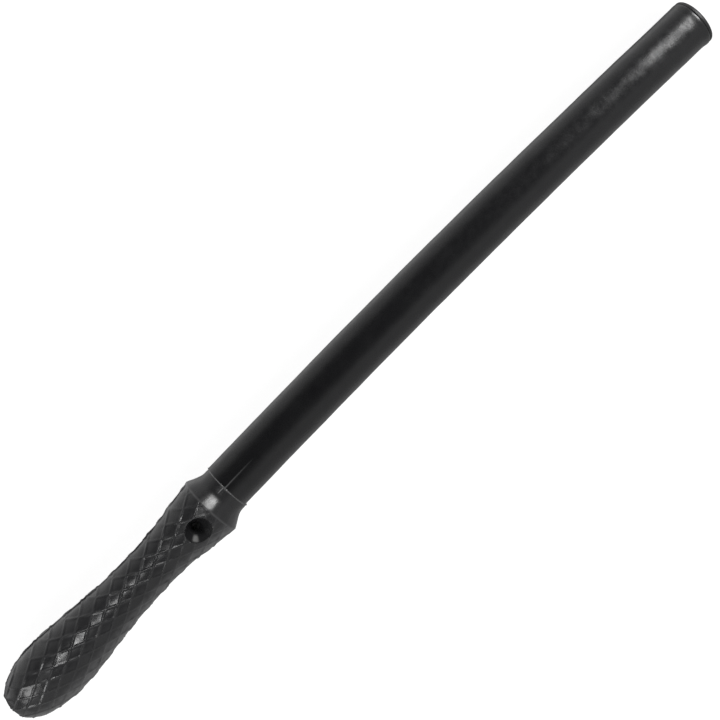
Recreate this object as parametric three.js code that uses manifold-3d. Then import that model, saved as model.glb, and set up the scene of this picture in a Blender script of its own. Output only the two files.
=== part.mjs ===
// A straight moulded rubber hand stick: a grip with a rounded pommel, a waist and a flared guard, and
// a long round shaft. Rubber is moulded in two lengths around one stiff core rod, a plug closes the tip,
// and a bush through grip and core lines the cord hole.
// Millimetres, +Z up. The stick lies along X with its pommel at -X and its cord hole along Z. Stations
// are distances from the pommel's end, and the origin is under the middle of the stick's box.

import * as THREE from "three";
import { mergeVertices } from "three/addons/utils/BufferGeometryUtils.js";
import Module from "manifold-3d";

const wasm = await Module();
wasm.setup();

// Stick
const LENGTH = 650;
const SIDES = 32; // facets around every piece; a flat one faces up, down and to each side
const GAP = 0.3; // clearance between neighbouring pieces

// Bow: the stick is straight at one station, and from there each end bends away towards -Y
const STRAIGHT_STATION = 330;
const TIP_BEND = 6.4;
const POMMEL_BEND = 3.2;
const TIP_POWER = 2;
const POMMEL_POWER = 1.2;
const BOW_STEP = 40; // longest facet along the stick, so that long pieces follow the bow

// Grip: the pommel's nose is half an ellipse cut short by a small flat end face, and a smooth curve
// runs from it to the guard's edge
const POMMEL_STATION = 38;
const POMMEL_RADIUS = 22.8;
const NOSE_HALF_LENGTH = 41; // of the whole ellipse
const NOSE_STEPS = 10;
const GRIP_STEPS = 26;
const GRIP_OUTLINE = [
  [POMMEL_STATION, POMMEL_RADIUS],
  [57, 21.7],
  [77, 19.5],
  [97, 17.5],
  [131, 16.65],
  [158, 18.5],
  [186.6, 22.6],
];

// Guard cone and collar, ahead of the grip
const COLLAR_STATION = 197;
const COLLAR_RADIUS = 17.45;
const JOINT_STATION = 203.4; // where grip and shaft meet, face to face

// Shaft: almost parallel at first, then tapered a little towards the tip
const SHAFT_ROOT_RADIUS = 17.3;
const SHAFT_MIDDLE = [450, 17.2];
const SHAFT_TIP_START = [595, 16.7];
const SHAFT_TIP_RADIUS = 16.65;
const SHAFT_OFFSET = 1.2; // the shaft's outside is moulded this far off the core's axis, towards +Y
const SPIGOT_RADIUS = 12; // the shaft's reduced end, which plugs into the collar
const SPIGOT_LENGTH = 22;
const SPIGOT_CHAMFER = 1.2;
const OVERLAP = 3; // solids that are joined share this length, and cutters run this far past a face

// Tip plug
const PLUG_HEAD = 2.4;
const PLUG_RADIUS = 16.9;
const PLUG_PROUD = 0.3; // its head sits this far to the shaft's -Y side
const PLUG_ROUNDING = 1.6;
const PLUG_STEM = 24;
const ROUNDING_STEPS = 4;

// Core rod
const ROD_RADIUS = 7;
const ROD_START = 40;
const ROD_END = 616;
const ROD_CHAMFER = 1;

// Cord hole, with a funnel on each side and a bush between them
const CORD_STATION = 171.2;
const FUNNEL_MOUTH_RADIUS = 8.8;
const FUNNEL_MOUTH_HEIGHT = 20.3; // from the stick's axis
const BUSH_HALF_LENGTH = 9;
const BUSH_RADIUS = 4.5;
const BUSH_BORE = 3.1;
const BUSH_CHAMFER = 0.4;
const HOLE_SIDES = 32;
const HOLE_REACH = 30; // cutters run this far from the axis, past the grip's surface

const shaftRubber = new THREE.MeshStandardMaterial({ color: 0x1b1c1d, roughness: 0.5, metalness: 0 });
const gripRubber = new THREE.MeshStandardMaterial({ color: 0x1f2021, roughness: 0.6, metalness: 0 });
const rodPlastic = new THREE.MeshStandardMaterial({ color: 0xc9c4b0, roughness: 0.45, metalness: 0 });
const bushPlastic = new THREE.MeshStandardMaterial({ color: 0x2a2a2c, roughness: 0.4, metalness: 0 });

// An outline of [station, radius] corners with its long straight stretches divided into short ones.
function divided(corners) {
  const points = [corners[0]];
  for (let i = 1; i < corners.length; i += 1) {
    const [fromStation, fromRadius] = corners[i - 1];
    const [toStation, toRadius] = corners[i];
    const steps = Math.max(1, Math.ceil(Math.abs(toStation - fromStation) / BOW_STEP));
    for (let k = 1; k <= steps; k += 1) {
      const share = k / steps;
      points.push([
        THREE.MathUtils.lerp(fromStation, toStation, share),
        THREE.MathUtils.lerp(fromRadius, toRadius, share),
      ]);
    }
  }
  return points;
}

// A solid of revolution about +Y. Each facet's middle lies on the true radius.
function revolved(outline, sides) {
  const outward = 1 / Math.cos(Math.PI / sides);
  const points = outline.map(([along, radius]) => new THREE.Vector2(radius * outward, along));
  return new THREE.LatheGeometry(points, sides, Math.PI / sides);
}

// A solid of revolution along the stick, from [station, radius] corners.
function turned(corners) {
  const geometry = revolved(divided(corners), SIDES);
  return geometry.rotateZ(-Math.PI / 2).translate(-LENGTH / 2, 0, 0);
}

// A solid of revolution about the cord hole's axis, from [height, radius] corners.
function acrossGrip(corners) {
  const geometry = revolved(corners, HOLE_SIDES).rotateX(Math.PI / 2);
  return geometry.translate(CORD_STATION - LENGTH / 2, 0, 0);
}

// Shared corners merged, and triangles that closed up at a pole dropped.
function welded(geometry) {
  geometry.deleteAttribute("normal");
  geometry.deleteAttribute("uv");
  const merged = mergeVertices(geometry, 1e-4);
  const corners = Array.from(merged.index.array);
  const kept = [];
  for (let i = 0; i < corners.length; i += 3) {
    const [a, b, c] = corners.slice(i, i + 3);
    if (a !== b && b !== c && c !== a) {
      kept.push(a, b, c);
    }
  }
  merged.setIndex(kept);
  return merged;
}

function toManifold(geometry) {
  const mesh = welded(geometry);
  const vertProperties = new Float32Array(mesh.attributes.position.array);
  const triVerts = new Uint32Array(mesh.index.array);
  return new wasm.Manifold(new wasm.Mesh({ numProp: 3, vertProperties, triVerts }));
}

function fromManifold(solid) {
  const mesh = solid.getMesh();
  const result = new THREE.BufferGeometry();
  result.setAttribute("position", new THREE.BufferAttribute(mesh.vertProperties, 3));
  result.setIndex(new THREE.BufferAttribute(mesh.triVerts, 1));
  return result;
}

function cut(geometry, cutter) {
  return fromManifold(toManifold(geometry).subtract(toManifold(cutter)));
}

function joined(geometry, other) {
  return fromManifold(toManifold(geometry).add(toManifold(other)));
}

function bend(station) {
  if (station > STRAIGHT_STATION) {
    return TIP_BEND * ((station - STRAIGHT_STATION) / (LENGTH - STRAIGHT_STATION)) ** TIP_POWER;
  }
  return POMMEL_BEND * (1 - Math.max(station, 0) / STRAIGHT_STATION) ** POMMEL_POWER;
}

// Shifts each cross-section sideways, so that circles stay in planes across the stick.
function bowed(geometry) {
  const position = geometry.attributes.position;
  for (let i = 0; i < position.count; i += 1) {
    position.setY(i, position.getY(i) - bend(position.getX(i) + LENGTH / 2));
  }
  return geometry;
}

function piece(name, geometry, material) {
  const mesh = new THREE.Mesh(bowed(geometry), material);
  mesh.name = name;
  geometry.computeVertexNormals();
  return mesh;
}

function noseOutline() {
  const points = [[0, 0]];
  const first = Math.acos(POMMEL_STATION / NOSE_HALF_LENGTH);
  for (let k = 0; k < NOSE_STEPS; k += 1) {
    const angle = THREE.MathUtils.lerp(first, Math.PI / 2, k / NOSE_STEPS);
    const station = POMMEL_STATION - NOSE_HALF_LENGTH * Math.cos(angle);
    points.push([station, POMMEL_RADIUS * Math.sin(angle)]);
  }
  return points;
}

function gripOutline() {
  const curve = new THREE.SplineCurve(GRIP_OUTLINE.map(([s, r]) => new THREE.Vector2(s, r)));
  return curve.getSpacedPoints(GRIP_STEPS).map((point) => [point.x, point.y]);
}

// The grip is one moulding, with a socket from its collar for the shaft's spigot and the core rod.
function handle() {
  const spigotFloor = JOINT_STATION - SPIGOT_LENGTH;
  const solid = turned([
    ...noseOutline(),
    ...gripOutline(),
    [COLLAR_STATION, COLLAR_RADIUS],
    [JOINT_STATION, COLLAR_RADIUS],
    [JOINT_STATION, SPIGOT_RADIUS + GAP],
    [spigotFloor, SPIGOT_RADIUS + GAP],
    [spigotFloor, ROD_RADIUS + GAP],
    [ROD_START - GAP, ROD_RADIUS + GAP],
    [ROD_START - GAP, 0],
  ]);
  const seat = BUSH_HALF_LENGTH + GAP;
  const slope = (FUNNEL_MOUTH_RADIUS - BUSH_BORE) / (FUNNEL_MOUTH_HEIGHT - seat);
  const reachRadius = BUSH_BORE + slope * (HOLE_REACH - seat);
  const funnels = acrossGrip([
    [-HOLE_REACH, 0],
    [-HOLE_REACH, reachRadius],
    [-seat, BUSH_BORE],
    [-seat, BUSH_RADIUS + GAP],
    [seat, BUSH_RADIUS + GAP],
    [seat, BUSH_BORE],
    [HOLE_REACH, reachRadius],
    [HOLE_REACH, 0],
  ]);
  return piece("handle", cut(solid, funnels), gripRubber);
}

// The shaft is a thick tube, tapered slightly, with a spigot at the grip's end.
function shaftSleeve() {
  const start = JOINT_STATION - SPIGOT_LENGTH + GAP;
  const shoulder = JOINT_STATION + GAP;
  const end = LENGTH - PLUG_HEAD - GAP;
  const moulding = turned([
    [shoulder, 0],
    [shoulder, SHAFT_ROOT_RADIUS],
    SHAFT_MIDDLE,
    SHAFT_TIP_START,
    [end, SHAFT_TIP_RADIUS],
    [end, 0],
  ]);
  const spigot = turned([
    [start, 0],
    [start, SPIGOT_RADIUS - SPIGOT_CHAMFER],
    [start + SPIGOT_CHAMFER, SPIGOT_RADIUS],
    [shoulder + OVERLAP, SPIGOT_RADIUS],
    [shoulder + OVERLAP, 0],
  ]);
  const bore = turned([
    [start - OVERLAP, 0],
    [start - OVERLAP, ROD_RADIUS + GAP],
    [end + OVERLAP, ROD_RADIUS + GAP],
    [end + OVERLAP, 0],
  ]);
  const solid = joined(moulding.translate(0, SHAFT_OFFSET, 0), spigot);
  return piece("shaft_sleeve", cut(solid, bore), shaftRubber);
}

// The plug's head covers the end of the shaft, and its stem is held in the shaft's bore.
function tipPlug() {
  const neck = LENGTH - PLUG_HEAD;
  const rounding = [];
  for (let k = 0; k <= ROUNDING_STEPS; k += 1) {
    const angle = (k / ROUNDING_STEPS) * (Math.PI / 2);
    rounding.push([
      LENGTH - PLUG_ROUNDING * (1 - Math.sin(angle)),
      PLUG_RADIUS - PLUG_ROUNDING * (1 - Math.cos(angle)),
    ]);
  }
  const head = turned([[neck, 0], [neck, PLUG_RADIUS], ...rounding, [LENGTH, 0]]);
  const stem = turned([
    [neck - PLUG_STEM, 0],
    [neck - PLUG_STEM, ROD_RADIUS - ROD_CHAMFER],
    [neck - PLUG_STEM + ROD_CHAMFER, ROD_RADIUS],
    [neck + PLUG_HEAD / 2, ROD_RADIUS],
    [neck + PLUG_HEAD / 2, 0],
  ]);
  const solid = joined(head.translate(0, SHAFT_OFFSET - PLUG_PROUD, 0), stem);
  return piece("tip_plug", solid, shaftRubber);
}

// The core rod stiffens the stick from the pommel almost to the tip, and is drilled for the bush.
function coreRod() {
  const solid = turned([
    [ROD_START, 0],
    [ROD_START, ROD_RADIUS - ROD_CHAMFER],
    [ROD_START + ROD_CHAMFER, ROD_RADIUS],
    [ROD_END - ROD_CHAMFER, ROD_RADIUS],
    [ROD_END, ROD_RADIUS - ROD_CHAMFER],
    [ROD_END, 0],
  ]);
  const drilling = acrossGrip([
    [-HOLE_REACH, 0],
    [-HOLE_REACH, BUSH_RADIUS + GAP],
    [HOLE_REACH, BUSH_RADIUS + GAP],
    [HOLE_REACH, 0],
  ]);
  return piece("core_rod", cut(solid, drilling), rodPlastic);
}

// The bush crosses the core rod as a hollow pin, and the cord runs through it.
function cordBush() {
  const solid = acrossGrip([
    [-BUSH_HALF_LENGTH, BUSH_BORE],
    [-BUSH_HALF_LENGTH, BUSH_RADIUS - BUSH_CHAMFER],
    [-BUSH_HALF_LENGTH + BUSH_CHAMFER, BUSH_RADIUS],
    [BUSH_HALF_LENGTH - BUSH_CHAMFER, BUSH_RADIUS],
    [BUSH_HALF_LENGTH, BUSH_RADIUS - BUSH_CHAMFER],
    [BUSH_HALF_LENGTH, BUSH_BORE],
    [-BUSH_HALF_LENGTH, BUSH_BORE],
  ]);
  return piece("cord_bush", welded(solid), bushPlastic);
}

const stick = new THREE.Group();
stick.add(handle(), shaftSleeve(), tipPlug(), coreRod(), cordBush());

const box = new THREE.Box3().setFromObject(stick);
const middle = box.getCenter(new THREE.Vector3());
stick.position.set(-middle.x, -middle.y, -box.min.z);

export default stick;
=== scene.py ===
"""Looks for a black rubber hand stick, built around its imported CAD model.

The stick lies along X with its pommel at -X. Shapes are worked out in millimetres as stations along the
stick (distances from the pommel's end), radii, and angles around it (0 is up, a quarter turn is +Y).
"""

import math

import bpy
import numpy as np
from mathutils import Matrix, Vector


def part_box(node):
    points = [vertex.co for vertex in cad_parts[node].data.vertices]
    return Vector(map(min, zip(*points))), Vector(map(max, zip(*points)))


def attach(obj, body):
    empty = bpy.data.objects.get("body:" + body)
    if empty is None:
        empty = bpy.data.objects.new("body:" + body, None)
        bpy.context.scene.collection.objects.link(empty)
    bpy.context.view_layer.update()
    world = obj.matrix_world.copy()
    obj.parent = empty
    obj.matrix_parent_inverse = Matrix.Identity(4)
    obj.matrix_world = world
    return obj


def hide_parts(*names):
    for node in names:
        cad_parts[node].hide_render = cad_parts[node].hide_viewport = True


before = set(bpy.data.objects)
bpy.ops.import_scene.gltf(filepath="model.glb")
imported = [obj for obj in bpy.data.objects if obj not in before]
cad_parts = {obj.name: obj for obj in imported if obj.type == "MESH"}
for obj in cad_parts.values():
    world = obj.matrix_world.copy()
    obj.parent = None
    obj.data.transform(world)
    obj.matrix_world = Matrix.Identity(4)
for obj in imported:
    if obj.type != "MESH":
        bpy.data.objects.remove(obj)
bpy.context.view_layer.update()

MM = 0.001

# ---------------------------------------------------------------- sizes taken from the frame

handle_low, handle_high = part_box("handle")
sleeve_low, sleeve_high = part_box("shaft_sleeve")
plug_low, plug_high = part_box("tip_plug")
bush_low, bush_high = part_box("cord_bush")

ORIGIN_X = handle_low.x / MM
LENGTH = (plug_high.x - handle_low.x) / MM
JOINT_STATION = (handle_high.x - handle_low.x) / MM
SPIGOT_START = (sleeve_low.x - handle_low.x) / MM
SLEEVE_END = (sleeve_high.x - handle_low.x) / MM
PLUG_START = (plug_low.x - handle_low.x) / MM
CORD_STATION = (bush_low.x + bush_high.x) / 2 / MM - ORIGIN_X
CORD_Y = (bush_low.y + bush_high.y) / 2 / MM
AXIS_HEIGHT = (bush_low.z + bush_high.z) / 2 / MM
BUSH_HALF_LENGTH = (bush_high.z - bush_low.z) / 2 / MM
BUSH_RADIUS = (bush_high.x - bush_low.x) / 2 / MM

# ---------------------------------------------------------------- driving dimensions, in millimetres

# Clearance between a part and the seat it is held in
GAP = 0.3

# The bow, as in the CAD model
STRAIGHT_STATION = 330
TIP_BEND = 6.4
POMMEL_BEND = 3.2
TIP_POWER = 2
POMMEL_POWER = 1.2

# How far the mouldings' sections wander towards +Y from the core's axis, by station
GRIP_SWAY = [(0, 0.75), (15, 0.55), (35, 0.25), (51, -0.3), (71, -0.15), (95, -0.2), (125, 0.1), (165, 0.4),
             (185, 0.3), (197, 0.85), (206, 0.9)]
SHAFT_SWAY = [(200, 1.5), (240, 1.65), (300, 1.6), (400, 1.4), (LENGTH, 1.4)]

# Grip outline. The nose is half an ellipse: NOSE_BLEND domes its end, NOSE_REACH moves it out, and a
# NOSE_FULLNESS under 1 makes it blunter.
POMMEL_STATION = 38
POMMEL_RADIUS = 23
NOSE_HALF_LENGTH = 41
NOSE_BLEND = 0.8
NOSE_REACH = 0.25
NOSE_FULLNESS = 0.88
GUARD_STATION = 186.6
GUARD_RADIUS = 22.75
GUARD_ROUNDING = 0.7
GUARD_FLARE = 1.15
# The paler line along the guard's edge is a painted highlight
GUARD_EDGE_HIGHLIGHT = 0.35
GRIP_KNOTS = [(POMMEL_STATION, POMMEL_RADIUS), (57, 21.95), (77, 19.75), (97, 17.75), (115, 17.05),
              (131, 16.85), (158, 18.8), (172, 21), (GUARD_STATION, GUARD_RADIUS)]
COLLAR_STATION = 197
COLLAR_RADIUS = 17.45
COLLAR_FILLET = 4.5
FILLET_SOFTNESS = 0.22
LIP_HEIGHT = 0.35
LIP_LENGTH = 0.55
SOCKET_CHAMFER = 0.5
ROD_BORE = 7.3
ROD_START = 39.7
SPIGOT_RADIUS = 12
SPIGOT_CHAMFER = 1.2

# The raised diamond lattice on the grip
LATTICE_LENGTH = 16.6
LATTICE_WIDTH = 8.1
LATTICE_SHIFT = -0.85
NOSE_SHIFT_ALONG = 1.3
NOSE_SHIFT_ACROSS = -0.6
NOSE_SHIFT_START = 20
NOSE_SHIFT_END = 120
RIDGE_WIDTH = 1.5
RIDGE_HEIGHT = 0.45
RIDGE_BASE = -0.32
PAD_FLATNESS = 0.2
PAD_FLATNESS_LIMIT = 0.45
PAD_HALF_ANGLE = 0.5
PAD_EDGE_INSET = 1
LATTICE_END = GUARD_STATION - 0.2
LATTICE_FADE = 0.9

# Slow unevenness of the surfaces, as depths, and of the ridges, the parting line and the -Y side's painted
# sheen, as
# shares: (wavelength, swing, seed)
GRIP_WAVES = (9, 0.03, 12)
SHAFT_LONG_WAVES = (42, 0.05, 21)
SHAFT_SHORT_WAVES = (11, 0.02, 22)
RIDGE_WAVES = (30, 0.18, 11)
PARTING_WAVES = (14, 0.3, 13)
SHEEN_WAVES = (6, 0.25, 14)

# Mould marks
PARTING_HEIGHT = 0.55
PARTING_WIDTH = 1.7
PARTING_FADE = 4
COLLAR_SEAM_ANGLE = math.radians(21.4)
COLLAR_SEAM_WIDTH = 1.28
COLLAR_SEAM_HEIGHT = 0.4
COLLAR_SEAM_START = COLLAR_STATION + 1.5
COLLAR_SEAM_FADE = 1.5
SHAFT_SEAM_ANGLE = math.radians(16.6)
SHAFT_SEAM_WIDTH = 1.2
SHAFT_SEAM_HEIGHT = 0.16
SHAFT_SEAM_LENGTH = 28

# The -Y side's painted sheen, a paler colour standing in for the floor's reflection: where round the grip
# it starts, as a sine, and how strong it is
SHEEN_START = 0.35
SHEEN_FADE = 0.4
SHEEN_SHARE = 0.75

# Shaft and tip plug. The shaft lifts a little before its rounded end, and swells on one side there.
SHAFT_KNOTS = [(JOINT_STATION, 17.4), (450, 17.4), (595, 17), (LENGTH, 17)]
SHAFT_EDGE = 0.15
END_LIFT = 0.14
END_LIFT_LENGTH = 4
END_ROUNDING = 0.35
END_ROUNDING_LENGTH = 1.2
JOINT_LINE = 0.05
SWELL_ANGLE = math.radians(-75)
SWELL_HALF_ANGLE = 0.6
SWELL_LENGTH = 5.5
SWELL_HEIGHT = 0.55
SWELL_POWER = 0.7
PLUG_RADIUS = 17.1
PLUG_ROUNDING = 1.3
PLUG_SHIFT = -0.1
PLUG_GROOVE = 0.35
PLUG_STEM_RADIUS = 7
PLUG_STEM_CHAMFER = 1
PLUG_JOINT_LINE = 0.12
PLUG_EDGE = 0.3

# The plug's slightly dished end: (radius, depth)
PLUG_DISH = [(12, 0.02), (7, 0.04), (0.5, 0.05)]

# Cord hole, and the wedge of its upper funnel that is painted paler: a painted glint
BUSH_BORE = 3.1
BUSH_CHAMFER = 0.5
FUNNEL_MOUTH_RADIUS = 8.8
FUNNEL_MOUTH_HEIGHT = 19.4
FUNNEL_RINGS = 28
HOLE_REACH = 30
GLINT_ANGLE = math.radians(214)
GLINT_HALF_ANGLE = 0.27
GLINT_START = 4.5
GLINT_END = 8.2
GLINT_INNER_FADE = 1.2
GLINT_OUTER_FADE = 0.8

# Mesh spacing: columns round a part, steps along it in millimetres, and extra columns by a seam in radians
GRIP_COLUMNS = 336
SHAFT_COLUMNS = 144
HOLE_COLUMNS = 96
GRIP_STEP = 0.9
COLLAR_STEP = 0.5
SHAFT_STEP = 2.5
NOSE_RINGS = 58
NOSE_FIRST_RING = 0.02
GUARD_RINGS = 6
CONE_RINGS = 14
CONE_GAP = 0.8
GUARD_GAP = 0.6
LIP_RINGS = 6
PLUG_RINGS = 9
CAP_RADIUS = 0.5
HANDLE_BORE_RINGS = (120, 80)
SHAFT_BORE_RINGS = range(600, 200, -40)
GRIP_SEAM_COLUMNS = (-0.035, -0.022, -0.011, 0, 0.011, 0.022, 0.035)
SHAFT_SEAM_COLUMNS = (-0.03, -0.02, -0.01, 0, 0.01, 0.02, 0.03)
CLOSEST_COLUMNS = math.radians(0.12)
SHAFT_START_RINGS = (0, 0.15, 0.3, 0.45, 0.6, 1, 1.8)
SHAFT_START_LENGTH = 3
SHAFT_END_RINGS = (8, 7, 6, 5, 4.2, 3.4, 2.6, 1.9, 1.2, 0.9, 0.6, 0.3, 0.1, 0)
SHAFT_END_LENGTH = 9

# Edges sharper than these many degrees stay sharp
MOULDING_CREASE = 55
SMALL_PART_CREASE = 40

# ---------------------------------------------------------------- curves and placing


def curve_through(knots, at, level_start=False):
    """A smooth curve through (station, value) knots, held level beyond the last one."""
    stations, values = np.array(knots, float).T
    slopes = np.gradient(values, stations)
    if level_start:
        slopes[0] = 0
    i = np.clip(np.searchsorted(stations, at) - 1, 0, len(stations) - 2)
    step = stations[i + 1] - stations[i]
    t = np.clip((at - stations[i]) / step, 0, 1)
    return (values[i] * (2 * t**3 - 3 * t**2 + 1) + step * slopes[i] * (t**3 - 2 * t**2 + t)
            + values[i + 1] * (3 * t**2 - 2 * t**3) + step * slopes[i + 1] * (t**3 - t**2))


def bend(station):
    towards_tip = np.clip((station - STRAIGHT_STATION) / (LENGTH - STRAIGHT_STATION), 0, None)
    towards_pommel = np.clip(1 - np.maximum(station, 0) / STRAIGHT_STATION, 0, None)
    return TIP_BEND * towards_tip**TIP_POWER + POMMEL_BEND * towards_pommel**POMMEL_POWER


def axis_y(station):
    return CORD_Y + bend(np.array(CORD_STATION)) - bend(station)


def placed(station, across, up, sway=None):
    """Points in metres for stations and offsets from the axis, with sections square to the bow."""
    slope = bend(station + 0.5) - bend(station - 0.5)
    centre = axis_y(station)
    if sway is not None:
        centre = centre + curve_through(sway, station)
    x = ORIGIN_X + station + across * slope
    return np.stack([x, centre + across, AXIS_HEIGHT + up], -1) * MM


def round_rings(corners, angles):
    """Round rings about the core's axis, from (station, radius) corners."""
    across, up = np.sin(angles), np.cos(angles)
    return np.array([placed(np.full(angles.size, station), radius * across, radius * up)
                     for station, radius in corners])


def ripple(points, wavelength, seed, waves=9):
    """A smooth random field with about unit swing, in the points' own units."""
    rng = np.random.default_rng(seed)
    directions = rng.normal(size=(waves, 3))
    directions /= np.linalg.norm(directions, axis=1, keepdims=True)
    scales = rng.uniform(0.6, 1.6, waves)
    phases = rng.uniform(0, 2 * math.pi, waves)
    total = np.zeros(points.shape[:-1])
    for direction, scale, phase in zip(directions, scales, phases):
        total += np.sin(points @ direction * (2 * math.pi / wavelength * scale) + phase)
    return total / math.sqrt(waves / 2)


def waviness(points, waves):
    wavelength, swing, seed = waves
    return swing * ripple(points, wavelength, seed)


def bump_over(distance, width):
    """A rounded ridge: 1 on its line, 0 from half a width away."""
    return np.cos(np.clip(np.abs(distance) / width, 0, 0.5) * math.pi) ** 2


# ---------------------------------------------------------------- mesh making


def angles_around(columns, marks, spread):
    """Angles of a ring's columns, evenly spaced but closer together around each mark."""
    angles = list(np.arange(columns) / columns * 2 * math.pi)
    for mark in marks:
        angles += [(mark + offset) % (2 * math.pi) for offset in spread]
    angles = np.sort(np.array(angles))
    keep = np.diff(angles, append=angles[0] + 2 * math.pi) > CLOSEST_COLUMNS
    return angles[keep]


def ring_mesh(name, rings, looped=False):
    """A closed mesh from rings of points. Unless the rings loop, its end rings are capped."""
    count, columns = rings.shape[:2]
    points = rings.reshape(-1, 3)
    rows = count if looped else count - 1
    i, j = np.meshgrid(np.arange(rows), np.arange(columns), indexing="ij")
    this, after = i * columns, (i + 1) % count * columns
    beside = (j + 1) % columns
    faces = np.stack([this + j, after + j, after + beside, this + beside], -1).reshape(-1, 4).tolist()
    points = points.tolist()
    if not looped:
        for ring, turn in ((0, 1), (count - 1, -1)):
            middle = len(points)
            points.append(list(rings[ring].mean(0)))
            for column in range(columns):
                pair = [ring * columns + column, ring * columns + (column + 1) % columns]
                faces.append([middle, *pair[::turn]])
    mesh = bpy.data.meshes.new(name)
    mesh.from_pydata(points, [], faces)
    mesh.validate()
    piece = bpy.data.objects.new(name, mesh)
    bpy.context.scene.collection.objects.link(piece)
    return piece


def shade(piece, crease_degrees=MOULDING_CREASE):
    mesh = piece.data
    mesh.shade_smooth()
    mesh.set_sharp_from_angle(angle=math.radians(crease_degrees))


def store(piece, name, values):
    """A number for each point, which materials read by name."""
    attribute = piece.data.attributes.new(name, "FLOAT", "POINT")
    full = np.zeros(len(piece.data.vertices), np.float32)
    full[:values.size] = values.reshape(-1)
    attribute.data.foreach_set("value", full)


def profile_normals(stations, radii):
    """Outward unit normals of an outline that runs towards the tip."""
    along = np.gradient(stations)
    outward = np.gradient(radii)
    size = np.hypot(along, outward)
    return -outward / size, along / size


# ---------------------------------------------------------------- handle


def nose_outline():
    """From the middle of the pommel's end to its widest ring: half an ellipse with a gently domed end."""
    turn = np.linspace(NOSE_FIRST_RING, 1, NOSE_RINGS, endpoint=False) * math.pi / 2
    ellipse = POMMEL_STATION + NOSE_REACH - NOSE_HALF_LENGTH * np.cos(turn)
    stations = (ellipse + np.sqrt(ellipse**2 + NOSE_BLEND**2)) / 2 - NOSE_REACH
    return stations, POMMEL_RADIUS * np.sin(turn) ** NOSE_FULLNESS


def guard_outline():
    """The guard's rounded edge, then the cone that runs into the collar through a hollow fillet."""
    last_station, last_radius = GRIP_KNOTS[-2]
    slope_in = (GUARD_RADIUS - last_radius) / (GUARD_STATION - last_station)
    rise = math.atan(slope_in * GUARD_FLARE)
    fall = math.atan((POMMEL_RADIUS - COLLAR_RADIUS) / (COLLAR_STATION - GUARD_STATION))
    tilt = np.linspace(rise, -fall, GUARD_RINGS)
    stations = GUARD_STATION - GUARD_ROUNDING * np.sin(tilt)
    radii = GUARD_RADIUS - GUARD_ROUNDING * (1 - np.cos(tilt))
    cone = np.linspace(stations[-1] + CONE_GAP, COLLAR_STATION + COLLAR_FILLET, CONE_RINGS)
    straight = radii[-1] - (cone - stations[-1]) * math.tan(fall)
    above = straight - COLLAR_RADIUS
    filleted = COLLAR_RADIUS + (above + np.hypot(above, COLLAR_FILLET * FILLET_SOFTNESS)) / 2
    return np.concatenate([stations, cone]), np.concatenate([radii, filleted])


def lip_share(station):
    """How far the flash at the joint has risen: 1 at the joint, 0 from a lip's length away."""
    return bump_over(station - JOINT_STATION, 2 * LIP_LENGTH)


def collar_outline():
    """The collar, and the thin raised lip of flash at its end."""
    lip_start = JOINT_STATION - LIP_LENGTH
    stations = np.concatenate([
        np.arange(COLLAR_STATION + COLLAR_FILLET + COLLAR_STEP, lip_start, COLLAR_STEP),
        lip_start + np.linspace(0, 1, LIP_RINGS) * LIP_LENGTH,
    ])
    return stations, COLLAR_RADIUS + LIP_HEIGHT * lip_share(stations)


def lattice(station, across, radius):
    """The height that flattens the pads, and how near each point is to a ridge's crest."""
    nose = np.clip((NOSE_SHIFT_END - station) / (NOSE_SHIFT_END - NOSE_SHIFT_START), 0, 1)
    along = (station + LATTICE_SHIFT - NOSE_SHIFT_ALONG * nose) / LATTICE_LENGTH
    sideways = (across - NOSE_SHIFT_ACROSS * nose) / LATTICE_WIDTH
    pitch = 1 / math.hypot(1 / LATTICE_LENGTH, 1 / LATTICE_WIDTH)
    first = along + sideways
    second = along - sideways
    crest = np.zeros_like(station)
    for direction in (first, second):
        distance = np.abs(direction - np.floor(direction) - 0.5) * pitch
        crest = np.maximum(crest, bump_over(distance, RIDGE_WIDTH))
    middle = LATTICE_WIDTH * (np.round(first) - np.round(second)) / 2 + NOSE_SHIFT_ACROSS * nose
    inside = np.clip(radius - PAD_EDGE_INSET, 1, None)
    angle = np.arcsin(np.clip(across / radius, -1, 1))
    middle_angle = np.arcsin(np.clip(middle / inside, -1, 1))
    off_middle = np.clip(angle - middle_angle, -PAD_HALF_ANGLE, PAD_HALF_ANGLE)
    proud = radius * (1 / np.cos(off_middle) - 1)
    return PAD_FLATNESS * np.minimum(proud, PAD_FLATNESS_LIMIT), crest


def grip_outline():
    """The whole outside of the handle, from the pommel's end to the joint."""
    nose_s, nose_r = nose_outline()
    grip_s = np.arange(POMMEL_STATION, GUARD_STATION - GUARD_GAP, GRIP_STEP)
    grip_r = curve_through(GRIP_KNOTS, grip_s, level_start=True)
    guard_s, guard_r = guard_outline()
    collar_s, collar_r = collar_outline()
    stations = np.concatenate([nose_s, grip_s, guard_s, collar_s])
    radii = np.concatenate([nose_r, grip_r, guard_r, collar_r])
    return stations, radii


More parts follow.
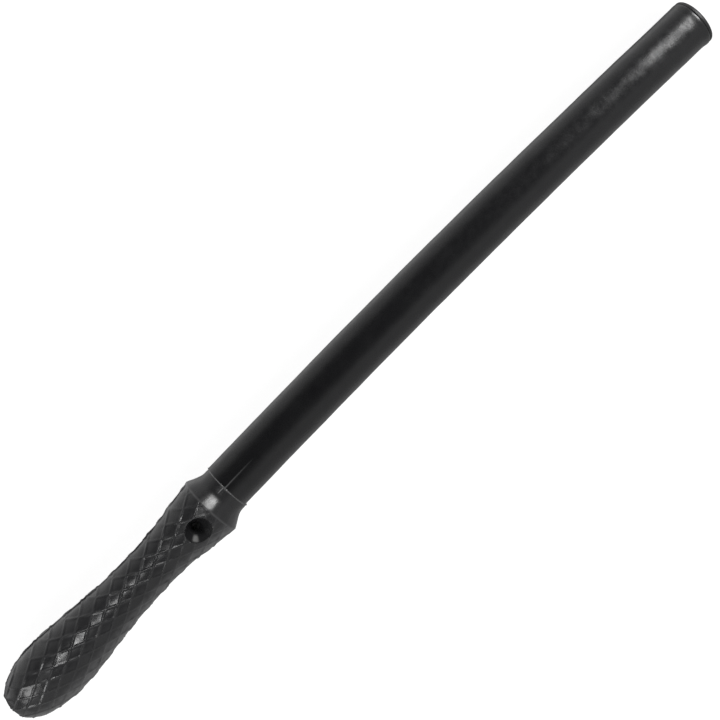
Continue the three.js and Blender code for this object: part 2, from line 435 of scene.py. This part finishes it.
def handle_rings():
    """The handle's rings, outside then inside, and the marks that its material reads."""
    stations, radii = grip_outline()
    normal_s, normal_r = profile_normals(stations, radii)

    quarter = math.pi / 2
    angles = angles_around(GRIP_COLUMNS, (quarter, 3 * quarter, COLLAR_SEAM_ANGLE), GRIP_SEAM_COLUMNS)
    turn, s = np.meshgrid(angles, stations)
    r = np.broadcast_to(radii[:, None], s.shape)
    across = r * np.sin(turn)
    up = r * np.cos(turn)
    points = np.stack([s, across, up], -1)

    proud, crest = lattice(s, across, r)
    fade = np.clip((LATTICE_END - s) / LATTICE_FADE, 0, 1)
    ridge_height = RIDGE_HEIGHT * (1 + waviness(points, RIDGE_WAVES))
    height = fade * (RIDGE_BASE + proud + ridge_height * crest)
    height += waviness(points, GRIP_WAVES)
    parting = bump_over(up, PARTING_WIDTH) * np.clip((GUARD_STATION - s) / PARTING_FADE, 0, 1)
    height += PARTING_HEIGHT * parting * (1 + waviness(points, PARTING_WAVES))
    seam = bump_over(r * (turn - COLLAR_SEAM_ANGLE), COLLAR_SEAM_WIDTH)
    seam *= np.clip((s - COLLAR_SEAM_START) / COLLAR_SEAM_FADE, 0, 1)
    height += COLLAR_SEAM_HEIGHT * seam

    s_moved = s + height * normal_s[:, None]
    r_moved = r + height * normal_r[:, None]
    outer = placed(s_moved, r_moved * np.sin(turn), r_moved * np.cos(turn), GRIP_SWAY)

    spigot_floor = SPIGOT_START - GAP
    socket = [(JOINT_STATION, COLLAR_RADIUS - SOCKET_CHAMFER), (JOINT_STATION, SPIGOT_RADIUS + GAP),
              (spigot_floor, SPIGOT_RADIUS + GAP), (spigot_floor, ROD_BORE)]
    socket += [(station, ROD_BORE) for station in HANDLE_BORE_RINGS]
    socket += [(ROD_START, ROD_BORE), (ROD_START, CAP_RADIUS)]
    inner = round_rings(socket, angles)

    # Painted sheen: the -Y side is painted paler in patches, standing in for the floor's reflection
    side = np.clip((-np.sin(turn) - SHEEN_START) / SHEEN_FADE, 0, 1) * fade
    sheen_patches = np.clip(SHEEN_SHARE + waviness(points, SHEEN_WAVES), 0, 1)
    # Painted highlight: a paler line along the guard's edge
    guard_highlight = GUARD_EDGE_HIGHLIGHT * bump_over(s - GUARD_STATION, 2 * GUARD_ROUNDING)
    marks = {
        "crest": crest * fade,
        "painted_sheen": side * sheen_patches,
        # Paler seam, lip and guard edge: painted highlight on the mould flash and the edge
        "flash_highlight": np.maximum.reduce([seam, lip_share(s), guard_highlight]),
    }
    return np.concatenate([outer, inner]), marks


def turned_about_hole(name, corners, looped=False):
    """A solid of revolution about the cord hole's axis, from (height, radius) corners."""
    angles = np.arange(HOLE_COLUMNS) / HOLE_COLUMNS * 2 * math.pi
    centre = np.array([ORIGIN_X + CORD_STATION, CORD_Y, AXIS_HEIGHT])
    across, along = np.sin(angles), np.cos(angles)
    rings = [np.stack([radius * across, radius * along, np.full(HOLE_COLUMNS, height)], -1) + centre
             for height, radius in corners]
    return ring_mesh(name, np.array(rings) * MM, looped)


def funnel_cutter():
    """The bush's seat, with a straight funnel above it and another below."""
    seat = BUSH_HALF_LENGTH + GAP
    slope = (FUNNEL_MOUTH_RADIUS - BUSH_BORE) / (FUNNEL_MOUTH_HEIGHT - seat)
    upper = [(seat, BUSH_RADIUS + GAP)]
    upper += [(height, BUSH_BORE + slope * (height - seat))
              for height in np.linspace(seat, HOLE_REACH, FUNNEL_RINGS + 1)]
    lower = [(-height, radius) for height, radius in reversed(upper)]
    return turned_about_hole("funnel_cutter", lower + upper)


def glint_share(points):
    """Where the upper funnel gets its painted glint: a wedge on one side, 1 along its middle and 0 off it.
    """
    x, y, z = points.T / MM
    x = x - ORIGIN_X - CORD_STATION
    y = y - CORD_Y
    off = np.angle(np.exp(1j * (np.arctan2(y, x) - GLINT_ANGLE)))
    out = np.hypot(x, y)
    past_start = np.clip((out - GLINT_START) / GLINT_INNER_FADE, 0, 1)
    before_end = np.clip((GLINT_END - out) / GLINT_OUTER_FADE, 0, 1)
    return np.exp(-((off / GLINT_HALF_ANGLE) ** 4)) * past_start * before_end * (z > AXIS_HEIGHT)


def drill(piece, cutter):
    """Cuts the cutter's shape out of a piece, and deletes the cutter."""
    cut = piece.modifiers.new("cord_hole", "BOOLEAN")
    cut.operation = "DIFFERENCE"
    cut.solver = "MANIFOLD"
    cut.object = cutter
    bpy.context.view_layer.update()
    graph = bpy.context.evaluated_depsgraph_get()
    drilled = bpy.data.meshes.new_from_object(piece.evaluated_get(graph), depsgraph=graph)
    piece.modifiers.clear()
    piece.data = drilled
    bpy.data.objects.remove(cutter)


def make_handle():
    rings, marks = handle_rings()
    piece = ring_mesh("ridged_grip", rings)
    for name, values in marks.items():
        store(piece, name, values)
    drill(piece, funnel_cutter())
    points = np.empty(len(piece.data.vertices) * 3)
    piece.data.vertices.foreach_get("co", points)
    # The funnel's paler wedge is a painted glint
    store(piece, "painted_glint", glint_share(points.reshape(-1, 3)))
    shade(piece)
    return piece


# ---------------------------------------------------------------- shaft, plug and bush


def shaft_outline(start, end):
    """The shaft's outside, with its half of the joint's lip and its lifted, rounded end."""
    stations = np.concatenate([
        start + np.array(SHAFT_START_RINGS),
        np.arange(start + SHAFT_START_LENGTH, end - SHAFT_END_LENGTH, SHAFT_STEP),
        end - np.array(SHAFT_END_RINGS),
    ])
    to_end = end - stations
    radii = curve_through(SHAFT_KNOTS, stations)
    radii += LIP_HEIGHT * lip_share(stations)
    radii += END_LIFT * bump_over(np.maximum(to_end - END_ROUNDING_LENGTH, 0), 2 * END_LIFT_LENGTH)
    radii -= END_ROUNDING * np.clip(1 - to_end / END_ROUNDING_LENGTH, 0, 1) ** 2
    radii[-1] -= SHAFT_EDGE
    return stations, radii


def make_sleeve():
    start = JOINT_STATION + JOINT_LINE
    end = SLEEVE_END
    stations, radii = shaft_outline(start, end)
    angles = angles_around(SHAFT_COLUMNS, (SHAFT_SEAM_ANGLE,), SHAFT_SEAM_COLUMNS)
    turn, s = np.meshgrid(angles, stations)
    r = np.broadcast_to(radii[:, None], s.shape)
    points = np.stack([s, r * np.sin(turn), r * np.cos(turn)], -1)

    seam_fade = np.clip(1 - (s - start) / SHAFT_SEAM_LENGTH, 0, 1)
    seam = bump_over(r * (turn - SHAFT_SEAM_ANGLE), SHAFT_SEAM_WIDTH) * seam_fade
    height = SHAFT_SEAM_HEIGHT * seam
    height += waviness(points, SHAFT_LONG_WAVES) + waviness(points, SHAFT_SHORT_WAVES)
    off = np.angle(np.exp(1j * (turn - SWELL_ANGLE)))
    swelling = np.clip(1 - (end - s) / SWELL_LENGTH, 0, 1) ** SWELL_POWER
    height += SWELL_HEIGHT * swelling * np.exp(-((off / SWELL_HALF_ANGLE) ** 2))
    outer_r = r + height
    outer = placed(s, outer_r * np.sin(turn), outer_r * np.cos(turn), SHAFT_SWAY)

    bore = [(end, ROD_BORE)]
    bore += [(station, ROD_BORE) for station in SHAFT_BORE_RINGS]
    bore += [(SPIGOT_START, ROD_BORE), (SPIGOT_START, SPIGOT_RADIUS - SPIGOT_CHAMFER),
             (SPIGOT_START + SPIGOT_CHAMFER, SPIGOT_RADIUS), (start, SPIGOT_RADIUS)]
    inner = round_rings(bore, angles)
    piece = ring_mesh("round_shaft", np.concatenate([outer, inner]), looped=True)
    # Paler seam and lip: painted highlight on the mould flash
    store(piece, "flash_highlight", np.maximum(seam, lip_share(s)))
    shade(piece)
    return piece


def make_plug():
    """A stem held in the shaft's bore, and a head that stands off the core's axis with the shaft."""
    neck = SLEEVE_END + PLUG_JOINT_LINE
    stem = [(PLUG_START, CAP_RADIUS), (PLUG_START, PLUG_STEM_RADIUS - PLUG_STEM_CHAMFER),
            (PLUG_START + PLUG_STEM_CHAMFER, PLUG_STEM_RADIUS), (neck, PLUG_STEM_RADIUS)]
    head = [(neck, PLUG_RADIUS - PLUG_GROOVE), (neck + PLUG_EDGE, PLUG_RADIUS)]
    head += [(LENGTH - PLUG_ROUNDING * (1 - math.sin(a)), PLUG_RADIUS - PLUG_ROUNDING * (1 - math.cos(a)))
             for a in np.linspace(0, math.pi / 2, PLUG_RINGS)]
    head += [(LENGTH - depth, radius) for radius, depth in PLUG_DISH]
    angles = np.arange(SHAFT_COLUMNS) / SHAFT_COLUMNS * 2 * math.pi
    head_rings = round_rings(head, angles)
    head_rings[:, :, 1] += (curve_through(SHAFT_SWAY, LENGTH) + PLUG_SHIFT) * MM
    piece = ring_mesh("tip_cap", np.concatenate([round_rings(stem, angles), head_rings]))
    shade(piece, SMALL_PART_CREASE)
    return piece


def make_bush():
    """A short tube with chamfered ends."""
    long, wide = BUSH_HALF_LENGTH, BUSH_RADIUS
    inner, outer = BUSH_BORE + BUSH_CHAMFER, wide - BUSH_CHAMFER
    shoulder = long - BUSH_CHAMFER
    corners = [(-long, inner), (-long, outer), (-shoulder, wide), (shoulder, wide),
               (long, outer), (long, inner), (shoulder, BUSH_BORE), (-shoulder, BUSH_BORE)]
    piece = turned_about_hole("bush_liner", corners, looped=True)
    shade(piece, SMALL_PART_CREASE)
    return piece


# ---------------------------------------------------------------- materials


class Nodes:
    """Short forms for building one material's nodes."""

    def __init__(self, name):
        self.material = bpy.data.materials.new(name)
        self.material.use_nodes = True
        self.tree = self.material.node_tree
        self.shader = self.tree.nodes["Principled BSDF"]
        self.place = self.add("ShaderNodeTexCoord").outputs["Object"]

    def add(self, kind):
        return self.tree.nodes.new(kind)

    def link(self, output, socket):
        self.tree.links.new(output, socket)

    def noise(self, size, detail=3, roughness=0.55, stretch=None):
        """Noise whose features are about size millimetres across."""
        node = self.add("ShaderNodeTexNoise")
        node.inputs["Scale"].default_value = 1 / (size * MM)
        node.inputs["Detail"].default_value = detail
        node.inputs["Roughness"].default_value = roughness
        place = self.place
        if stretch is not None:
            mapping = self.add("ShaderNodeMapping")
            mapping.inputs["Scale"].default_value = stretch
            self.link(place, mapping.inputs["Vector"])
            place = mapping.outputs["Vector"]
        self.link(place, node.inputs["Vector"])
        return node.outputs["Fac"]

    def attribute(self, name):
        node = self.add("ShaderNodeAttribute")
        node.attribute_name = name
        return node.outputs["Fac"]

    def spread(self, value, low, high, from_low=0.3, from_high=0.7):
        node = self.add("ShaderNodeMapRange")
        node.inputs["From Min"].default_value = from_low
        node.inputs["From Max"].default_value = from_high
        node.inputs["To Min"].default_value = low
        node.inputs["To Max"].default_value = high
        self.link(value, node.inputs["Value"])
        return node.outputs["Result"]

    def math(self, operation, first, second):
        node = self.add("ShaderNodeMath")
        node.operation = operation
        for socket, value in zip(node.inputs, (first, second)):
            if isinstance(value, (int, float)):
                socket.default_value = value
            else:
                self.link(value, socket)
        return node.outputs["Value"]

    def blend(self, factor, first, second):
        node = self.add("ShaderNodeMix")
        node.data_type = "RGBA"
        self.link(factor, node.inputs["Factor"])
        for socket, colour in ((node.inputs[6], first), (node.inputs[7], second)):
            if isinstance(colour, tuple):
                socket.default_value = (*colour, 1)
            else:
                self.link(colour, socket)
        return node.outputs[2]

    def bump(self, height, depth, under=None):
        """Bump of a height from 0 to 1 that is depth millimetres deep, on top of another bump."""
        node = self.add("ShaderNodeBump")
        node.inputs["Strength"].default_value = 1
        node.inputs["Distance"].default_value = depth * MM
        self.link(height, node.inputs["Height"])
        if under is not None:
            self.link(under, node.inputs["Normal"])
        return node.outputs["Normal"]


# Colours of the paler marks: crest wear, and painted light (the -Y side's painted sheen, painted highlights
# on the flash lines and guard edge, the funnel's painted glint)
WEAR_AND_SHEEN_GREY = (0.13, 0.13, 0.132)
FLASH_HIGHLIGHT_GREY = (0.17, 0.17, 0.172)
GLINT_GREY = (0.27, 0.27, 0.265)

# Sizes and depths of the rubber's texture, in millimetres
CLOUD_SIZE = 14
GLOSS_SIZE = 5
MARK_SIZE = 7
WAVE_SIZE = 2.6
WAVE_DEPTH = 0.04
GRAIN_SIZE = 0.9
GRAIN_DEPTH = 0.005

# How much the roughness wanders, the least share of a mark that shows, and how much rougher it is
GLOSS_SWING = 0.045
LEAST_MARK = 0.6
MARK_DULLING = 0.12


def fill_ramp(node, stops):
    """Grey stops for a ramp node, from (position, level) pairs."""
    elements = node.color_ramp.elements
    while len(elements) < len(stops):
        elements.new(0.5)
    for element, (position, level) in zip(elements, stops):
        element.position = position
        element.color = (level, level, level, 1)


def rubber(name, dark, light, roughness, pale_marks=(), drawn=0):
    """Black moulded rubber: cloudy tone, fine grain, slow waviness, and paler, duller marks, some of them
    wear and some painted light.

    Each mark is (its attribute, its strength, its colour). Drawn rubber shines more sharply along X.
    """
    n = Nodes(name)
    colour = n.blend(n.spread(n.noise(CLOUD_SIZE, detail=4), 0, 1), dark, light)
    rough = n.spread(n.noise(GLOSS_SIZE, detail=4), roughness - GLOSS_SWING, roughness + GLOSS_SWING)
    for mark, strength, paler in pale_marks:
        patches = n.spread(n.noise(MARK_SIZE), LEAST_MARK * strength, strength)
        amount = n.math("MULTIPLY", n.attribute(mark), patches)
        colour = n.blend(amount, colour, paler)
        rough = n.math("ADD", rough, n.math("MULTIPLY", amount, MARK_DULLING))
    if drawn:
        around = n.add("ShaderNodeTangent")
        around.direction_type = "RADIAL"
        around.axis = "X"
        n.link(around.outputs["Tangent"], n.shader.inputs["Tangent"])
        n.shader.inputs["Anisotropic"].default_value = drawn
    n.link(colour, n.shader.inputs["Base Color"])
    n.link(rough, n.shader.inputs["Roughness"])
    waves = n.bump(n.noise(WAVE_SIZE, detail=2), WAVE_DEPTH)
    n.link(n.bump(n.noise(GRAIN_SIZE, detail=2), GRAIN_DEPTH, waves), n.shader.inputs["Normal"])
    return n.material


def plastic(name, dark, light, roughness, grain):
    """Extruded or turned plastic with faint lines round it."""
    n = Nodes(name)
    colour = n.blend(n.spread(n.noise(8), 0, 1), dark, light)
    n.link(colour, n.shader.inputs["Base Color"])
    n.link(n.spread(n.noise(2), roughness - 0.05, roughness + 0.05), n.shader.inputs["Roughness"])
    n.link(n.bump(n.noise(0.8, stretch=(1, 0.15, 0.15)), grain), n.shader.inputs["Normal"])
    return n.material


PAPER_DARK = (0.88, 0.88, 0.88)
PAPER_LIGHT = (0.9, 0.9, 0.895)

# The sheet is lit through from below, so that the camera sees it evenly white
FLOOR_GLOW = (0.95, 0.95, 0.95)

# The stick sees less of that light under itself and on its -Y side: (distance from the middle towards +Y in
# millimetres, glow)
GLOW_REACH = 200
REFLECTED_GLOW = [(-GLOW_REACH, 0.45), (-110, 0.4), (-50, 0.3), (-25, 0.25), (-8, 0), (8, 0), (20, 0.15),
                  (28, 0.6), (36, 0.95), (50, 0.78), (80, 0.58), (165, 0.48), (GLOW_REACH, 0.45)]


def floor_paper():
    """White paper that glows evenly to the camera, and by the ramp above to everything else."""
    n = Nodes("pale_floor")
    split = n.add("ShaderNodeSeparateXYZ")
    n.link(n.place, split.inputs[0])
    share = n.spread(split.outputs["Y"], 0, 1, -GLOW_REACH * MM, GLOW_REACH * MM)
    ramp = n.add("ShaderNodeValToRGB")
    fill_ramp(ramp, [((across + GLOW_REACH) / (2 * GLOW_REACH), glow) for across, glow in REFLECTED_GLOW])
    n.link(share, ramp.inputs["Fac"])
    seen = n.add("ShaderNodeLightPath").outputs["Is Camera Ray"]
    n.link(n.blend(seen, ramp.outputs["Color"], FLOOR_GLOW), n.shader.inputs["Emission Color"])
    n.link(n.blend(n.spread(n.noise(400), 0, 1), PAPER_DARK, PAPER_LIGHT), n.shader.inputs["Base Color"])
    n.link(n.spread(n.noise(60), 0.8, 0.9), n.shader.inputs["Roughness"])
    n.link(n.bump(n.noise(1.2), 0.02), n.shader.inputs["Normal"])
    n.shader.inputs["Specular IOR Level"].default_value = 0.2
    n.shader.inputs["Emission Strength"].default_value = 1
    return n.material


# ---------------------------------------------------------------- light, floor and camera, in metres

FLOOR_HALF = 6.0


def make_floor():
    """A wide sheet under the stick, tilted to pass just under the guard's rim and the shaft's tip."""
    guard_low = AXIS_HEIGHT - POMMEL_RADIUS
    tip_low = AXIS_HEIGHT - PLUG_RADIUS
    slope = (tip_low - guard_low) / (LENGTH - GUARD_STATION)
    guard_x = (ORIGIN_X + GUARD_STATION) * MM
    near, far = -FLOOR_HALF, FLOOR_HALF
    corners = [(near, near), (far, near), (far, far), (near, far)]
    points = [(x, y, guard_low * MM + (x - guard_x) * slope) for x, y in corners]
    mesh = bpy.data.meshes.new("floor")
    mesh.from_pydata(points, [], [(0, 1, 2, 3)])
    floor = bpy.data.objects.new("floor", mesh)
    bpy.context.scene.collection.objects.link(floor)
    mesh.materials.append(floor_paper())
    return floor


def make_panel(name, centre, size, radiance, unlit, turn=0, aim=None):
    """A soft light panel of one radiance, facing down or at a point, that leaves some objects alone."""
    light = bpy.data.lights.new(name, "AREA")
    light.shape = "RECTANGLE"
    light.size, light.size_y = size
    light.energy = radiance * math.pi * size[0] * size[1]
    panel = bpy.data.objects.new(name, light)
    panel.location = centre
    panel.rotation_euler = (0, 0, turn)
    targets = bpy.data.collections.new(name + "_targets")
    for each in unlit:
        targets.objects.link(each)
    for member in targets.collection_objects:
        member.light_linking.link_state = "EXCLUDE"
    panel.light_linking.receiver_collection = targets
    if aim is not None:
        panel.rotation_euler = (Vector(centre) - Vector(aim)).to_track_quat("Z", "Y").to_euler()
    bpy.context.scene.collection.objects.link(panel)


# Radiance of the surroundings by the angle from straight up towards +Y, in degrees
SURROUND = [(-180, 0.9), (-100, 0.42), (-72, 0.48), (-57, 0.44), (-31, 0.55), (-18, 0.28), (-7, 0.1),
            (4, 0.02), (66, 0.02), (76, 0.3), (90, 0.54), (115, 0.62), (130, 0.9), (180, 0.95)]
BACKDROP = (0.93, 0.93, 0.93, 1)


def make_world():
    """Soft studio surroundings: bright low down, dimmer on the -Y side, dark from overhead towards +Y."""
    world = bpy.data.worlds.new("studio")
    bpy.context.scene.world = world
    world.use_nodes = True
    tree = world.node_tree
    new, link = tree.nodes.new, tree.links.new
    split = new("ShaderNodeSeparateXYZ")
    link(new("ShaderNodeTexCoord").outputs["Generated"], split.inputs[0])
    angle = new("ShaderNodeMath")
    angle.operation = "ARCTAN2"
    link(split.outputs["Y"], angle.inputs[0])
    link(split.outputs["Z"], angle.inputs[1])
    share = new("ShaderNodeMapRange")
    share.inputs["From Min"].default_value = -math.pi
    share.inputs["From Max"].default_value = math.pi
    link(angle.outputs[0], share.inputs["Value"])
    ramp = new("ShaderNodeValToRGB")
    fill_ramp(ramp, [((degrees + 180) / 360, radiance) for degrees, radiance in SURROUND])
    link(share.outputs["Result"], ramp.inputs["Fac"])
    seen = new("ShaderNodeLightPath")
    mix = new("ShaderNodeMix")
    mix.data_type = "RGBA"
    link(seen.outputs["Is Camera Ray"], mix.inputs["Factor"])
    link(ramp.outputs["Color"], mix.inputs[6])
    mix.inputs[7].default_value = BACKDROP
    link(mix.outputs[2], tree.nodes["Background"].inputs["Color"])


# The camera aims at a point beside the shaft, given by a station and by offsets in millimetres
CAMERA_DISTANCE = 0.84
CAMERA_LENS = 62.437
CAMERA_SENSOR = 36
CAMERA_REACH = 20
CAMERA_LEAN = math.radians(16.4)
CAMERA_TILT = math.radians(1.25)
STICK_ANGLE = math.radians(45.55)
VIEW_STATION = 326.27
VIEW_OFFSET = 5.07
VIEW_SWAY = 1.2


def make_camera():
    """The photo's view: almost straight down, leaning to the +Y side, with the stick on the diagonal."""
    lean, tilt = CAMERA_LEAN, CAMERA_TILT
    back = Vector((-math.sin(tilt), math.sin(lean) * math.cos(tilt), math.cos(lean) * math.cos(tilt)))
    shaft_y = float(axis_y(np.array(VIEW_STATION)) + VIEW_SWAY)
    target = Vector((ORIGIN_X + VIEW_STATION, shaft_y - VIEW_OFFSET * math.cos(lean),
                     AXIS_HEIGHT + VIEW_OFFSET * math.sin(lean))) * MM
    along = (Vector((1, 0, 0)) - back * back.x).normalized()
    beside = back.cross(along)
    right = along * math.cos(STICK_ANGLE) - beside * math.sin(STICK_ANGLE)
    up = along * math.sin(STICK_ANGLE) + beside * math.cos(STICK_ANGLE)
    data = bpy.data.cameras.new("camera")
    data.lens = CAMERA_LENS
    data.sensor_width = CAMERA_SENSOR
    data.clip_end = CAMERA_REACH
    camera = bpy.data.objects.new("camera", data)
    turned = Matrix((right, up, back)).transposed().to_4x4()
    turned.translation = target + back * CAMERA_DISTANCE
    camera.matrix_world = turned
    bpy.context.scene.collection.objects.link(camera)
    bpy.context.scene.camera = camera


# ---------------------------------------------------------------- the scene

make_camera()
paper = make_floor()
make_world()

# Crest wear is real wear; the -Y side's sheen, the flash lines' highlight and the funnel's glint are
# painted light
GRIP_WEAR_AND_PAINTED_LIGHT = [("crest", 0.12, WEAR_AND_SHEEN_GREY), ("painted_sheen", 0.75, WEAR_AND_SHEEN_GREY), ("flash_highlight", 1, FLASH_HIGHLIGHT_GREY),
             ("painted_glint", 1, GLINT_GREY)]
SHAFT_FLASH_HIGHLIGHT = [("flash_highlight", 1, FLASH_HIGHLIGHT_GREY)]
GRIP_RUBBER = rubber("grip_rubber", dark=(0.014, 0.014, 0.015), light=(0.02, 0.02, 0.021), roughness=0.28,
                     pale_marks=GRIP_WEAR_AND_PAINTED_LIGHT)
SHAFT_RUBBER = rubber("shaft_rubber", dark=(0.01, 0.01, 0.011), light=(0.014, 0.014, 0.015), roughness=0.27,
                      pale_marks=SHAFT_FLASH_HIGHLIGHT, drawn=0.6)
PLUG_RUBBER = rubber("plug_rubber", dark=(0.011, 0.011, 0.012), light=(0.016, 0.016, 0.017), roughness=0.5)
BUSH_PLASTIC = plastic("bush_plastic", dark=(0.012, 0.012, 0.012), light=(0.02, 0.02, 0.02), roughness=0.4,
                       grain=0.02)
ROD_PLASTIC = plastic("rod_plastic", dark=(0.52, 0.49, 0.39), light=(0.6, 0.57, 0.46), roughness=0.42,
                      grain=0.03)

sleeve = make_sleeve()
PIECES = [
    (make_handle(), "handle", "grip_rubber", GRIP_RUBBER),
    (sleeve, "shaft_sleeve", "shaft_rubber", SHAFT_RUBBER),
    (make_plug(), "tip_plug", "plug_rubber", PLUG_RUBBER),
    (make_bush(), "cord_bush", "bush_plastic", BUSH_PLASTIC),
]
for piece, node, slot, material in PIECES:
    piece.data.materials.clear()
    piece.data.materials.append(material)
    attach(piece, "root")
    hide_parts(node)

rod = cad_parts["core_rod"]
rod.data.materials.clear()
rod.data.materials.append(ROD_PLASTIC)

make_panel("tip_light", centre=(1.03, 0.49, 1.02), size=(0.44, 0.8), radiance=23, unlit=[paper],
           turn=math.radians(-12))
make_panel("grip_light", centre=(-0.375, 0.52, 1.02), size=(0.11, 0.22), radiance=37,
           unlit=[paper, sleeve])
make_panel("nose_light", centre=(-1.02, 0.15, 0.64), size=(0.5, 0.3), radiance=8, unlit=[paper, sleeve],
           aim=(handle_low.x, 0, AXIS_HEIGHT * MM))

view = bpy.context.scene.view_settings
view.view_transform = "Standard"
view.look = "None"
